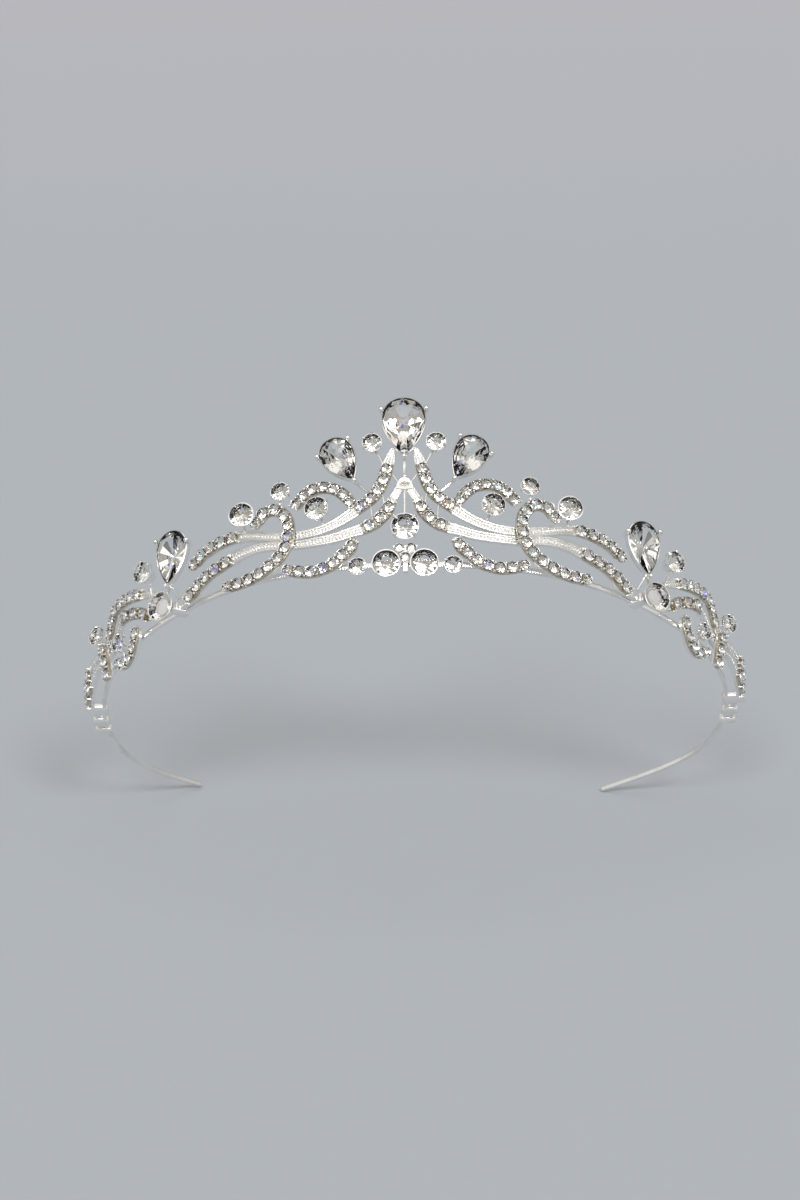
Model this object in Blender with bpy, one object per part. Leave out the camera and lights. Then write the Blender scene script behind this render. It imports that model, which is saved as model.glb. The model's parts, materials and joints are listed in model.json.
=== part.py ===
"""Bridal tiara: a flat spring-wire headband, cast scroll work set with small
crystals, pear stones in claw cups, round stones in bezel cups, and the folded
crimps that hold the castings to the band.

Every piece is laid out on one flared surface that follows the band: s is the
distance along the band from its front centre, h the height up the surface and
o the distance outward from the band's middle.  All of them are in millimetres.
"""
import math

import bmesh
import bpy
import numpy as np
from mathutils import Vector

MM = 0.001

# Driving dimensions, in millimetres and degrees
# The band's middle line in its own plane, front to tip.  The left arm has sprung
# a little further open than the right and out of the plane, as a bent wire does.
FRONT = [(0, -66, 0), (28.5, -61.5, 0), (55.5, -40.3, 0), (72, -2, 0)]
RIGHT_ARM = [(67.5, 27.5, 0), (44.2, 50.5, 0)]
LEFT_ARM = [(-69.3, 29.5, 1.2), (-54.5, 56.4, 6.0)]
BAND_THICK = 0.9        # across the wire, in the band's plane
BAND_TALL = 1.3         # the wire's height
FLARE = 7.0             # the ornament leans outward by this much
TILT = 45.0             # the band's plane rises to the front, as worn
STAND_OFF = 1.6         # the side castings' ends stand out from the band by this
STAND_OFF_FROM = 80.0   # where along the band that starts
STAND_OFF_RUN = 15.0    # and over what length it grows
CLOSE_FROM = 104.0      # where the crimps start to pull the casting in again
CLOSE_RUN = 9.0
GAP = 0.3               # clearance kept between soldered neighbours
CAST_BACK = BAND_THICK / 2 + GAP
CAST_FRONT = 2.0        # front of a plain cast ribbon
PAVE_FRONT = 3.2        # front of the small stones set in it
OVER_BACK = CAST_FRONT + GAP
OVER_FRONT = 3.3        # the scroll that lies over the ribbons
OVER_PAVE = 4.4
PAVE_TABLE = 1.3        # width of the flat top over a row of stones
STEM = 0.35             # radius of the side stems
POST = 0.4              # radius of the centre's post and hanger
ROD_DEPTH = 1.5         # how far out the stems, post and hanger run

SILVER = (0.86, 0.85, 0.83)
CRYSTAL = (0.80, 0.83, 0.87)


def spline(points):
    """A natural cubic spline through points; returns its length and a sampler."""
    p = np.array(points, dtype=float)
    steps = np.hypot(np.diff(p[:, 0]), np.diff(p[:, 1]))
    knots = np.concatenate([[0.0], np.cumsum(steps)])
    count = len(p)
    matrix = np.eye(count)
    rhs = np.zeros_like(p)
    for i in range(1, count - 1):
        matrix[i, i - 1:i + 2] = steps[i - 1], 2 * (steps[i - 1] + steps[i]), steps[i]
        rhs[i] = 6 * ((p[i + 1] - p[i]) / steps[i] - (p[i] - p[i - 1]) / steps[i - 1])
    bend = np.linalg.solve(matrix, rhs)

    def sample(t):
        i = int(np.clip(np.searchsorted(knots, t) - 1, 0, count - 2))
        width = steps[i]
        a = (knots[i + 1] - t) / width
        b = (t - knots[i]) / width
        cubic = (a ** 3 - a) * bend[i] + (b ** 3 - b) * bend[i + 1]
        return a * p[i] + b * p[i + 1] + cubic * width ** 2 / 6

    return knots[-1], sample


left_front = [(-x, y, z) for x, y, z in FRONT[1:]]
LEFT_LENGTH = spline([FRONT[0]] + left_front + LEFT_ARM)[0]
BAND_LENGTH, band_at = spline((left_front + LEFT_ARM)[::-1] + FRONT + RIGHT_ARM)


def outward(s):
    """The band's outward direction in its own plane at s."""
    along = band_at(LEFT_LENGTH + s + 0.05) - band_at(LEFT_LENGTH + s - 0.05)
    return np.array([along[1], -along[0]]) / math.hypot(along[0], along[1])


def tilted(x, y, z):
    """From the band's own frame to the part's, in metres."""
    turn = math.radians(TILT)
    up, back = math.sin(turn), math.cos(turn)
    return Vector((x, y * back + z * up, z * back - y * up)) * MM


def stand_off(s):
    """How far the stiff side castings stand out from the band before the crimps."""
    def grown(start, run):
        part = min(max((abs(s) - start) / run, 0), 1)
        return part * part * (3 - 2 * part)

    return STAND_OFF * (grown(STAND_OFF_FROM, STAND_OFF_RUN) - grown(CLOSE_FROM, CLOSE_RUN))


def plain(s, h, o):
    """A point beside the band itself, which doesn't lean."""
    x, y, z = band_at(LEFT_LENGTH + s)
    across = outward(s)
    return tilted(x + across[0] * o, y + across[1] * o, z + h)


def place(s, h, o):
    """A point on the flared surface that the ornament follows."""
    lean = math.radians(FLARE)
    far = o + stand_off(s)
    return plain(s, h * math.cos(lean) - far * math.sin(lean),
                 far * math.cos(lean) + h * math.sin(lean))


def finish(bm, name, colour, metal):
    bmesh.ops.recalc_face_normals(bm, faces=bm.faces)
    mesh = bpy.data.meshes.new(name)
    bm.to_mesh(mesh)
    bm.free()
    mesh.shade_smooth()
    mesh.set_sharp_from_angle(angle=math.radians(32))
    obj = bpy.data.objects.new(name, mesh)
    bpy.context.collection.objects.link(obj)
    material = bpy.data.materials.new(name)
    material.use_nodes = True
    shader = material.node_tree.nodes["Principled BSDF"]
    shader.inputs["Base Color"].default_value = (*colour, 1)
    shader.inputs["Metallic"].default_value = metal
    shader.inputs["Roughness"].default_value = 0.22 if metal else 0.05
    mesh.materials.append(material)
    return obj


def skin(bm, rings, closed=False):
    """Joins rings of points into a tube, with flat ends unless it is closed."""
    loops = [[bm.verts.new(point) for point in ring] for ring in rings]
    pairs = list(zip(loops, loops[1:]))
    if closed:
        pairs.append((loops[-1], loops[0]))
    for first, second in pairs:
        for i in range(len(first)):
            j = (i + 1) % len(first)
            bm.faces.new((first[i], first[j], second[j], second[i]))
    if not closed:
        bm.faces.new(loops[0])
        bm.faces.new(loops[-1])


def solid(name, rings, closed=False, colour=SILVER, metal=1.0):
    bm = bmesh.new()
    skin(bm, rings, closed)
    return finish(bm, name, colour, metal)


def combine(body, others):
    """Joins the other solids to the first and drops them."""
    for other in others:
        joint = body.modifiers.new("join", 'BOOLEAN')
        joint.operation = 'UNION'
        joint.solver = 'EXACT'
        joint.object = other
        graph = bpy.context.evaluated_depsgraph_get()
        mesh = bpy.data.meshes.new_from_object(body.evaluated_get(graph))
        body.modifiers.remove(joint)
        body.data = mesh
        bpy.data.objects.remove(other)
    return body


# ---------------------------------------------------------------- headband

def headband():
    """One flat wire bent to the head, plain from end to end."""
    rings = []
    half = BAND_THICK / 2
    steps = 46
    for i in range(steps + 1):
        s = BAND_LENGTH * i / steps - LEFT_LENGTH
        corners = [(-half, 0), (half, 0), (half, BAND_TALL), (-half, BAND_TALL)]
        rings.append([plain(s, h, o) for o, h in corners])
    solid("headband", rings)


# ---------------------------------------------------------- cast strip work

STRIPS = {
    # name: outline as (s, h, width), stone rows as (first s-h point, last, count)
    "ribbon_upper": dict(
        outline=[(2.6, 25.2, 0.9), (3.7, 22.3, 2.7), (4.8, 18.8, 2.9), (6.6, 16.0, 2.9),
                 (9.1, 13.9, 2.8), (13.2, 11.0, 2.2), (17.5, 9.2, 1.8), (24.4, 8.75, 1.7),
                 (29.5, 9.7, 1.9), (35.2, 11.2, 2.3), (40.9, 11.3, 2.9), (45.9, 10.0, 2.9),
                 (48.1, 8.6, 2.7)],
        rows=[(3.7, 22.3, 9.1, 13.9, 5), (37.8, 11.6, 48.1, 8.6, 5)]),
    "ribbon_lower": dict(
        outline=[(2.3, 15.3, 1.2), (3.3, 13.4, 2.8), (4.9, 11.1, 2.9), (7.4, 9.2, 2.9),
                 (10.2, 8.3, 2.4), (14, 7.2, 2.0), (19, 6.6, 1.8), (24.4, 6.6, 1.7),
                 (29.5, 7.4, 1.9), (35, 7.3, 2.3), (39.7, 6.2, 2.9), (45.7, 4.4, 2.9),
                 (50.4, 1.7, 2.6), (52.2, 0.8, 1.2), (56.0, 0.65, 1.2)],
        rows=[(3.3, 13.4, 7.4, 9.2, 3), (39.7, 6.2, 50.0, 2.0, 5)]),
    "arch": dict(
        outline=[(11.9, 15.5, 2.2), (12.5, 16.5, 2.6), (14.0, 18.0, 2.7), (16.4, 19.0, 2.8),
                 (19.0, 18.8, 2.8), (21.4, 17.2, 2.8), (22.9, 15.3, 2.4)],
        rows=[(12.6, 16.7, 22.0, 16.6, 6)]),
    "scroll": dict(
        outline=[(31.1, 12.4, 2.8), (29.4, 14.5, 2.8), (27.0, 14.9, 2.8), (24.9, 13.2, 2.8),
                 (24.1, 10.6, 2.8), (24.3, 7.8, 2.8), (25.3, 5.1, 2.8), (28.9, 1.8, 2.8),
                 (33.7, 0.0, 2.8), (38.6, -0.1, 2.8)],
        rows=[(31.1, 12.4, 38.6, -0.1, 13)], over=True),
    "lower_arc": dict(
        outline=[(10.3, 6.3, 1.0), (11.2, 4.7, 2.8), (12.9, 3.0, 2.8), (14.8, 1.3, 2.8),
                 (17.3, 0.1, 2.8), (20.0, -0.3, 2.8), (22.8, 0.2, 2.8), (24.9, 0.8, 2.6)],
        rows=[(11.2, 4.7, 24.9, 0.8, 7)]),
    "side_arc": dict(
        outline=[(60.6, 6.0, 0.9), (64.0, 8.3, 1.9), (67.9, 9.8, 2.8), (71.9, 10.8, 2.8),
                 (75.9, 11.2, 2.8), (79.2, 10.7, 2.8), (81.6, 8.7, 2.6), (83.3, 6.3, 2.2),
                 (86.5, 4.9, 1.8), (91.5, 4.9, 1.8), (96.5, 5.1, 2.0), (100, 4.7, 2.7),
                 (103.0, 3.9, 2.5)],
        rows=[(67.9, 9.8, 82.7, 7.1, 7), (99.4, 4.8, 103.0, 3.9, 2)]),
    "side_ribbon": dict(
        outline=[(63.6, 1.6, 0.9), (66.1, 4.2, 2.7), (69.8, 6.1, 2.8), (73.7, 7.3, 2.8),
                 (77.6, 6.9, 2.2), (80.4, 5.0, 1.8), (83.0, 3.2, 1.8), (86.5, 2.4, 1.8),
                 (91.5, 2.3, 1.8), (96, 1.8, 1.8), (101, 1.0, 2.0), (105.2, 0.8, 1.2),
                 (119.6, 0.65, 1.2)],
        rows=[(66.1, 4.2, 73.7, 7.3, 3), (99.0, 1.2, 103.4, 0.95, 2)]),
    "side_loop": dict(
        outline=[(70.0, 2.9, 1.4), (70.2, 1.5, 2.4), (71.4, -1.0, 2.5), (73.1, -2.8, 2.5),
                 (75.7, -3.5, 2.5), (78.1, -2.7, 2.4), (79.9, -1.4, 2.2)],
        rows=[(70.3, 1.2, 79.4, -1.8, 5)]),
    "side_column": dict(
        outline=[(84.6, 4.9, 2.2), (84.0, 2.2, 2.7), (83.5, -0.7, 2.7), (83.1, -3.9, 2.4)],
        rows=[(84.3, 3.6, 83.2, -3.1, 3)], over=True),
}


def nearest(sample, length, s, h):
    """Where along an outline it passes closest to a point."""
    steps = np.linspace(0, length, 400)
    gaps = [math.hypot(sample(t)[0] - s, sample(t)[1] - h) for t in steps]
    return float(steps[int(np.argmin(gaps))])


PLAIN_STEP = 3.2        # between the sections of a plain stretch
SHOULDER = 0.35         # depth of the bevel along a plain strip
NECK = 0.82             # width left between two stones, as a share


def strip(side, outline, rows, over=False):
    """A cast strip swept along its outline, swelling where stones are set."""
    back, front, top = CAST_BACK, CAST_FRONT, PAVE_FRONT
    if over:
        back, front, top = OVER_BACK, OVER_FRONT, OVER_PAVE
    length, sample = spline(outline)
    rises = {}
    for s0, h0, s1, h1, count in rows:
        start, end = nearest(sample, length, s0, h0), nearest(sample, length, s1, h1)
        pitch = (end - start) / (count - 1)
        for i in range(count):
            rises[start + (i - 0.25) * pitch] = 1.0
            rises[start + (i + 0.25) * pitch] = 1.0
        for i in range(count + 1):
            rises[start + (i - 0.5) * pitch] = 0.25
    rises = {t: rise for t, rise in rises.items() if 0 < t < length}
    set_marks = sorted(rises)
    for t in np.linspace(0, length, int(length / PLAIN_STEP) + 2):
        if all(abs(t - mark) > PLAIN_STEP * 0.4 for mark in set_marks):
            rises[float(t)] = 0.0
    rises[0.0] = 0.0
    rises[float(length)] = 0.0
    rings = []
    for t in sorted(rises):
        rise = rises[t]
        s, h, width = sample(t)
        before, after = sample(max(t - 0.05, 0)), sample(min(t + 0.05, length))
        ds, dh = after[0] - before[0], after[1] - before[1]
        size = math.hypot(ds, dh)
        narrow = width / 2 * (NECK + (1 - NECK) * rise if rise else 1)
        shoulder = front - SHOULDER + (SHOULDER - 0.05) * rise
        crown = front + (top - front) * rise
        table = PAVE_TABLE / 2 if rise else narrow * 0.7
        profile = [(-narrow, back), (narrow, back), (narrow, shoulder),
                   (table, crown), (-table, crown), (-narrow, shoulder)]
        rings.append([place(side * (s - dh / size * e), h + ds / size * e, o)
                      for e, o in profile])
    return rings


def all_strips():
    for side, word in ((-1, "left"), (1, "right")):
        for name, shape in STRIPS.items():
            solid(f"{name}_{word}", strip(side, **shape))


# -------------------------------------------------------------- round stones

ROUNDS = [
    # name, s, h, diameter, back, depth, turn towards the front, stem end (s, h) or None
    ("round_centre", 0, 8.2, 6.3, 0.9, 3.6, 0, None),
    ("bezel_bottom", 3.95, -0.1, 6.4, 0.9, 3.2, 0, None),
    ("round_low", 9.9, -0.4, 4.2, 0.9, 2.8, 0, None),
    ("round_stem", 6.5, 28.1, 4.5, 1.0, 3.2, 0, (5.5, 22.9)),
    ("round_arch", 18.1, 13.8, 5.5, 0.9, 3.2, 0, None),
    ("round_top", 25.9, 19.0, 4.4, 0.9, 3.2, 8, None),
    ("bezel_mid", 35.1, 15.7, 5.8, 0.9, 3.2, 18, None),
    ("bezel_junction", 56.8, 1.5, 6.9, 3.3, 2.0, 0, None),
    ("round_side", 63.1, 12.3, 5.2, 0.9, 4.6, 18, None),
    ("round_loop", 76.4, 1.5, 4.2, 1.5, 2.8, 22, None),
    ("round_high", 87.7, 8.6, 4.6, 0.9, 3.4, 25, None),
]
ROUND_SIDES = 14
CUP_PROFILE = [(0.55, 0.0), (0.80, 0.45), (1.0, 0.72), (0.93, 0.80), (0.55, 1.0)]


def axes(s, h, o, turn=0.0):
    """A point with its along, up and outward directions, turned towards the front."""
    middle = place(s, h, o)
    along = (place(s + 0.1, h, o) - place(s - 0.1, h, o)).normalized()
    up = (place(s, h + 0.1, o) - place(s, h - 0.1, o)).normalized()
    out = (place(s, h, o + 0.1) - place(s, h, o - 0.1)).normalized()
    angle = math.radians(turn if s > 0 else -turn)
    facing = out * math.cos(angle) - along * math.sin(angle)
    return middle, along * math.cos(angle) + out * math.sin(angle), up, facing


def rod(name, start, end, radius):
    """A round wire between two points."""
    sides = 6
    run = (end - start).normalized()
    across = run.orthogonal().normalized()
    other = run.cross(across)
    rings = []
    for point in (start, end):
        ring = []
        for i in range(sides):
            angle = 2 * math.pi * (i + 0.3) / sides
            ring.append(point + (across * math.cos(angle) + other * math.sin(angle)) * radius * MM)
        rings.append(ring)
    return solid(name, rings)


def round_stone(name, s, h, diameter, back, depth, turn, stem):
    """A turned cup with its stone set in it, the table standing proud."""
    middle, along, up, out = axes(s, h, back, turn)
    rings = []
    for size, level in CUP_PROFILE:
        ring = []
        for i in range(ROUND_SIDES):
            angle = 2 * math.pi * (i + 0.5) / ROUND_SIDES
            spoke = (along * math.cos(angle) + up * math.sin(angle)) * diameter / 2
            ring.append(middle + (spoke * size + out * depth * level) * MM)
        rings.append(ring)
    cup = solid(name, rings)
    if stem:
        centre = place(s, h, back + depth * 0.35)
        foot = place(stem[0] * (1 if s >= 0 else -1), stem[1], ROD_DEPTH)
        combine(cup, [rod("stem", centre, foot, STEM)])


def all_rounds():
    for name, s, *sizes in ROUNDS:
        if s == 0:
            round_stone(name, s, *sizes)
            continue
        for side, word in ((-1, "left"), (1, "right")):
            round_stone(f"{name}_{word}", side * s, *sizes)


# --------------------------------------------------------------- pear stones

PEARS = [
    # name, s, h, width, length, lean of the head outward, turn towards the front
    ("centre", 0, 31.6, 10.0, 14.0, 0.0, 0),
    ("upper", 12.9, 24.4, 8.0, 11.6, 30.0, 0),
    ("side", 54.3, 12.3, 8.0, 13.0, -12.0, 20),
]
PEAR_BACK = 0.9
PEAR_SIDES = 18
CUP_WALL = 0.45
CUP_DEPTH = 2.6
CUP_WAIST = 1.3         # height at which the cup has reached its full width
CUP_FLOOR = 0.5
GIRDLE = CUP_DEPTH + 0.2
GIRDLE_EDGE = 0.5       # depth of the stone's straight side
CROWN = 1.7             # from the girdle to the table
HEAD_FULLNESS = 1.22    # brings the widest line of the outline to the full width


def pear_outline(width, length, grow):
    """A round head that runs out to a point at the bottom, as (across, up)."""
    points = []
    for i in range(PEAR_SIDES):
        angle = 2 * math.pi * (i + 0.5) / PEAR_SIDES
        taper = math.sin(angle / 2) ** 0.75
        across = (width / 2) * math.sin(angle) * taper * HEAD_FULLNESS
        up = -(length / 2) * math.cos(angle)
        reach = math.hypot(across, up)
        points.append((across * (1 + grow / reach), up * (1 + grow / reach)))
    return points


def pear(name, s, h, width, length, lean, turn):
    """The stone and its cup: an open tray whose rim stands round the girdle."""
    middle, along, up, out = axes(s, h, PEAR_BACK, turn)
    angle = math.radians(lean)
    right = along * math.cos(angle) - up * math.sin(angle)
    top = along * math.sin(angle) + up * math.cos(angle)

    def ring(outline, level, scale):
        return [middle + (right * x * scale + top * y * scale + out * level) * MM
                for x, y in outline]

    stone = pear_outline(width, length, -CUP_WALL - GAP)
    outer = pear_outline(width, length, 0)
    inner = pear_outline(width, length, -CUP_WALL)
    solid(f"pear_{name}", [ring(stone, CUP_FLOOR + GAP, 0.35),
                           ring(stone, GIRDLE - GIRDLE_EDGE, 1.0),
                           ring(stone, GIRDLE, 1.0),
                           ring(stone, GIRDLE + CROWN, 0.58)], colour=CRYSTAL, metal=0.0)
    solid(f"setting_{name}", [ring(outer, 0, 0.6),
                              ring(outer, CUP_WAIST, 1.0),
                              ring(outer, CUP_DEPTH, 1.0),
                              ring(inner, CUP_DEPTH, 1.0),
                              ring(inner, CUP_WAIST, 1.0),
                              ring(inner, CUP_FLOOR, 0.55)])


def all_pears():
    for name, s, h, width, length, lean, turn in PEARS:
        if s == 0:
            pear(name, s, h, width, length, lean, turn)
            continue
        for side, word in ((-1, "left"), (1, "right")):
            pear(f"{name}_{word}", side * s, h, width, length, side * lean, turn)


# ------------------------------------------------- centre mount and crimps

PEAK = [(0, 20.2), (3.0, 16.2), (1.7, 15.3), (0, 16.5), (-1.7, 15.3), (-3.0, 16.2)]
DIAMOND = [(0, 18.7), (0.8, 18.2), (0.5, 17.9), (0, 17.6), (-0.5, 17.9), (-0.8, 18.2)]
HANGER_RUN = (16.9, 12.0)       # heights it runs between, down to the centre stone
POST_RUN = (19.6, 23.8)         # and up towards the centre pear
DROP_HALF = [(2.6, 4.4), (2.2, 3.1), (0.75, 1.9), (0.4, 1.2), (0.4, -1.6)]
CRIMPS = [("crimp_junction", 54.6, 2.4), ("crimp_front", 107.8, 3.4),
          ("crimp_middle", 113.8, 3.2), ("crimp_rear", 118.2, 2.4)]
CRIMP_WALL = 0.35
CRIMP_SLACK = 0.3               # room for the strip to bend inside the sleeve


def centre_mount():
    """The cast peak with its diamond opening, the post over it and the hanger."""
    rings = []
    for far, near in zip(PEAK, DIAMOND):
        rings.append([place(*far, CAST_BACK), place(*far, CAST_FRONT),
                      place(*near, CAST_FRONT), place(*near, CAST_BACK)])
    body = solid("centre_mount", rings, closed=True)
    rods = [rod(name, place(0, run[0], ROD_DEPTH), place(0, run[1], ROD_DEPTH), POST)
            for name, run in (("hanger", HANGER_RUN), ("post", POST_RUN))]
    combine(body, rods)


def drop_plate():
    """The small plate of three stones under the centre stone, with its tongue."""
    outline = DROP_HALF + [(-s, h) for s, h in reversed(DROP_HALF)]
    solid("drop_plate", [[place(s, h, o) for s, h in outline] for o in (CAST_BACK, CAST_FRONT)])


def crimp(name, s, length, front):
    """A folded square sleeve closed round the band and the strip beside it."""
    low, high, back = -GAP, BAND_TALL + GAP, -BAND_THICK / 2 - GAP

    def ring(end, wall):
        corners = [(back - wall, low - wall), (front + wall, low - wall),
                   (front + wall, high + wall), (back - wall, high + wall)]
        return [plain(s + end, h, o) for o, h in corners]

    half = length / 2
    solid(name, [ring(-half, CRIMP_WALL), ring(half, CRIMP_WALL), ring(half, 0), ring(-half, 0)],
          closed=True)


def all_crimps():
    for name, s, length in CRIMPS:
        front = CAST_FRONT + stand_off(s - length / 2) + GAP + CRIMP_SLACK
        for side, word in ((-1, "left"), (1, "right")):
            crimp(f"{name}_{word}", side * s, length, front)


for old in list(bpy.data.objects):
    bpy.data.objects.remove(old)
headband()
all_strips()
all_rounds()
all_pears()
centre_mount()
drop_plate()
all_crimps()
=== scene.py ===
"""A bridal tiara: headband, scroll castings, crystals and their settings."""
import json
import math
import random

import bpy
import numpy as np
from mathutils import Matrix, Vector


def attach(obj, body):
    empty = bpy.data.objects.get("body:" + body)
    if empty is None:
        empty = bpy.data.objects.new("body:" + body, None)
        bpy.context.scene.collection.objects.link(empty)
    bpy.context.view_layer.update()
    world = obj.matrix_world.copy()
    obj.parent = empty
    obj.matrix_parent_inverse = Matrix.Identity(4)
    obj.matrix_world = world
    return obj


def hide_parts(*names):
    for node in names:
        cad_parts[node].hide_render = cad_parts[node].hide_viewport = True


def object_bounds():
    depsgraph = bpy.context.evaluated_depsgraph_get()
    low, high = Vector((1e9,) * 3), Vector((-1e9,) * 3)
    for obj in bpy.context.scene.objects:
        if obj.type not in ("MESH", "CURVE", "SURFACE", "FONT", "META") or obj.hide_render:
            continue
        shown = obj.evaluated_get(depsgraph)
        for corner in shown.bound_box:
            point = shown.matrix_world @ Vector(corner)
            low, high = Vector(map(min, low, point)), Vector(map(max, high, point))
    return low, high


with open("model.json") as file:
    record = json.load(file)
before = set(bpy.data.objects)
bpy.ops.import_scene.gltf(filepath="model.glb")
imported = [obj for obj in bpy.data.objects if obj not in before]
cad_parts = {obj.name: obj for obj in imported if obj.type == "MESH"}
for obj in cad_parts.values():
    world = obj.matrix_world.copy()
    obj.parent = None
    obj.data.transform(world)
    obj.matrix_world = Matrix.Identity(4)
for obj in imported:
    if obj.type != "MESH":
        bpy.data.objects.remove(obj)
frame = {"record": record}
cad_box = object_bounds()

# =====================================================================
# Headband.  One flat spring wire, bent to a horseshoe and plated bright
# silver.  Along the front its lower edge is milled into fine teeth,
# which key the solder that holds the castings.
# =====================================================================
MM = 0.001
FRONT = [(0, -66, 0), (28.5, -61.5, 0), (55.5, -40.3, 0), (72, -2, 0)]
RIGHT_ARM = [(67.5, 27.5, 0), (44.2, 50.5, 0)]
LEFT_ARM = [(-69.3, 29.5, 1.2), (-54.5, 56.4, 6.0)]
BAND_THICK = 0.9        # across the wire, between the head and the ornament
BAND_TALL = 1.3
FLARE = math.radians(7)
STAND_OFF = 1.6         # how far the side castings stand clear of the band
STAND_OFF_FROM = 80
STAND_OFF_RUN = 15
CLOSE_FROM = 104
CLOSE_RUN = 9
NUDGE = 0.05            # half the step that slopes are measured over
seat = next(m for m in frame["record"]["mounts"] if m["name"] == "head_seat")
TILT = math.atan2(seat["axis"][1], seat["axis"][2])


def spline(points):
    """A natural cubic spline through points: its length and a sampler."""
    p = np.array(points, dtype=float)
    steps = np.hypot(np.diff(p[:, 0]), np.diff(p[:, 1]))
    knots = np.concatenate([[0.0], np.cumsum(steps)])
    count = len(p)
    matrix = np.eye(count)
    rhs = np.zeros_like(p)
    for i in range(1, count - 1):
        matrix[i, i - 1:i + 2] = steps[i - 1], 2 * (steps[i - 1] + steps[i]), steps[i]
        rhs[i] = 6 * ((p[i + 1] - p[i]) / steps[i] - (p[i] - p[i - 1]) / steps[i - 1])
    bend = np.linalg.solve(matrix, rhs)

    def sample(t):
        i = int(np.clip(np.searchsorted(knots, t) - 1, 0, count - 2))
        a = (knots[i + 1] - t) / steps[i]
        b = (t - knots[i]) / steps[i]
        cubic = (a ** 3 - a) * bend[i] + (b ** 3 - b) * bend[i + 1]
        return a * p[i] + b * p[i + 1] + cubic * steps[i] ** 2 / 6

    return knots[-1], sample


left_front = [(-x, y, z) for x, y, z in FRONT[1:]]
LEFT_LENGTH = spline([FRONT[0]] + left_front + LEFT_ARM)[0]
BAND_LENGTH, band_at = spline((left_front + LEFT_ARM)[::-1] + FRONT + RIGHT_ARM)


def stand_off(s):
    """How far the stiff side castings stand out from the band before the crimps."""
    def grown(start, run):
        part = min(max((abs(s) - start) / run, 0), 1)
        return part * part * (3 - 2 * part)

    return STAND_OFF * (grown(STAND_OFF_FROM, STAND_OFF_RUN) - grown(CLOSE_FROM, CLOSE_RUN))


def plain(s, h, o):
    """A point s along the band from its front, h above its lower edge, o outward."""
    x, y, z = band_at(LEFT_LENGTH + s)
    along = band_at(LEFT_LENGTH + s + NUDGE) - band_at(LEFT_LENGTH + s - NUDGE)
    size = math.hypot(along[0], along[1])
    x += along[1] / size * o
    y -= along[0] / size * o
    z += h
    up, back = math.sin(TILT), math.cos(TILT)
    return Vector((x, y * back + z * up, z * back - y * up)) * MM


def place(s, h, o):
    """The same on the flared surface that the ornament follows."""
    far = o + stand_off(s)
    return plain(s, h * math.cos(FLARE) - far * math.sin(FLARE),
                 far * math.cos(FLARE) + h * math.sin(FLARE))


class Shape:
    """Gathers the skin of one piece; kind is the material each face takes."""

    def __init__(self):
        self.verts = []
        self.faces = []
        self.kinds = []

    def add(self, verts, faces, kinds):
        first = len(self.verts)
        self.verts.extend(verts)
        self.faces.extend([tuple(first + i for i in face) for face in faces])
        self.kinds.extend(kinds)

    def sweep(self, rings, kind=0, closed=False, caps=True, shaded=()):
        """Skins a run of equal rings, with a fan over each open end."""
        size = len(rings[0])
        first = len(self.kinds)
        verts = [point for ring in rings for point in ring]
        faces = []
        spans = len(rings) if closed else len(rings) - 1
        for r in range(spans):
            a, b = r * size, (r + 1) % len(rings) * size
            for i in range(size):
                j = (i + 1) % size
                faces.append((a + i, a + j, b + j, b + i))
        if caps and not closed:
            for start, ring in ((0, rings[0]), (len(rings) - 1, rings[-1])):
                middle = len(verts)
                verts.append(sum(ring, Vector()) / size)
                base = start * size
                for i in range(size):
                    j = (i + 1) % size
                    turn = (base + j, base + i) if start == 0 else (base + i, base + j)
                    faces.append((middle,) + turn)
        self.add(verts, faces, [kind] * len(faces))
        for span in shaded:
            start = first + span * size
            self.kinds[start + 2:start + size - 1] = [1] * (size - 3)

    def ball(self, centre, radius, sides=8, kind=0):
        rings = []
        rows = sides // 2
        for r in range(1, rows):
            tilt = math.pi * r / rows
            ring = []
            for i in range(sides):
                turn = 2 * math.pi * i / sides
                ring.append(centre + Vector((math.sin(tilt) * math.cos(turn),
                                             math.sin(tilt) * math.sin(turn),
                                             math.cos(tilt))) * radius)
            rings.append(ring)
        first = len(self.verts)
        self.sweep(rings, kind, caps=False)
        top = len(self.verts)
        self.verts.extend([centre + Vector((0, 0, radius)), centre - Vector((0, 0, radius))])
        last = first + (rows - 2) * sides
        for i in range(sides):
            j = (i + 1) % sides
            self.faces.extend([(top, first + j, first + i), (top + 1, last + i, last + j)])
            self.kinds.extend([kind, kind])

    def wire(self, points, radius, sides=8, kind=0):
        """A round wire through points, its radius a number or one for each point."""
        radii = radius if isinstance(radius, list) else [radius] * len(points)
        run = (points[1] - points[0]).normalized()
        across = run.orthogonal().normalized()
        rings = []
        for i, point in enumerate(points):
            before, after = points[max(i - 1, 0)], points[min(i + 1, len(points) - 1)]
            run = (after - before).normalized()
            across = (across - run * across.dot(run)).normalized()
            other = run.cross(across)
            ring = []
            for k in range(sides):
                turn = 2 * math.pi * k / sides
                ring.append(point + (across * math.cos(turn) + other * math.sin(turn)) * radii[i])
            rings.append(ring)
        self.sweep(rings, kind)

    def piece(self, name, looks, slot, sharp=35, replaces=()):
        """Makes the object, gives it its finish and sets it on the frame."""
        mesh = bpy.data.meshes.new(name)
        mesh.from_pydata(self.verts, [], self.faces)
        for look in looks:
            mesh.materials.append(look)
        mesh.polygons.foreach_set("material_index", self.kinds)
        mesh.update()
        mesh.validate()
        if sharp:
            mesh.shade_smooth()
            mesh.set_sharp_from_angle(angle=math.radians(sharp))
        obj = bpy.data.objects.new(name, mesh)
        bpy.context.collection.objects.link(obj)
        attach(obj, "root")
        if replaces:
            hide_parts(*replaces)
        return obj


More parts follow.
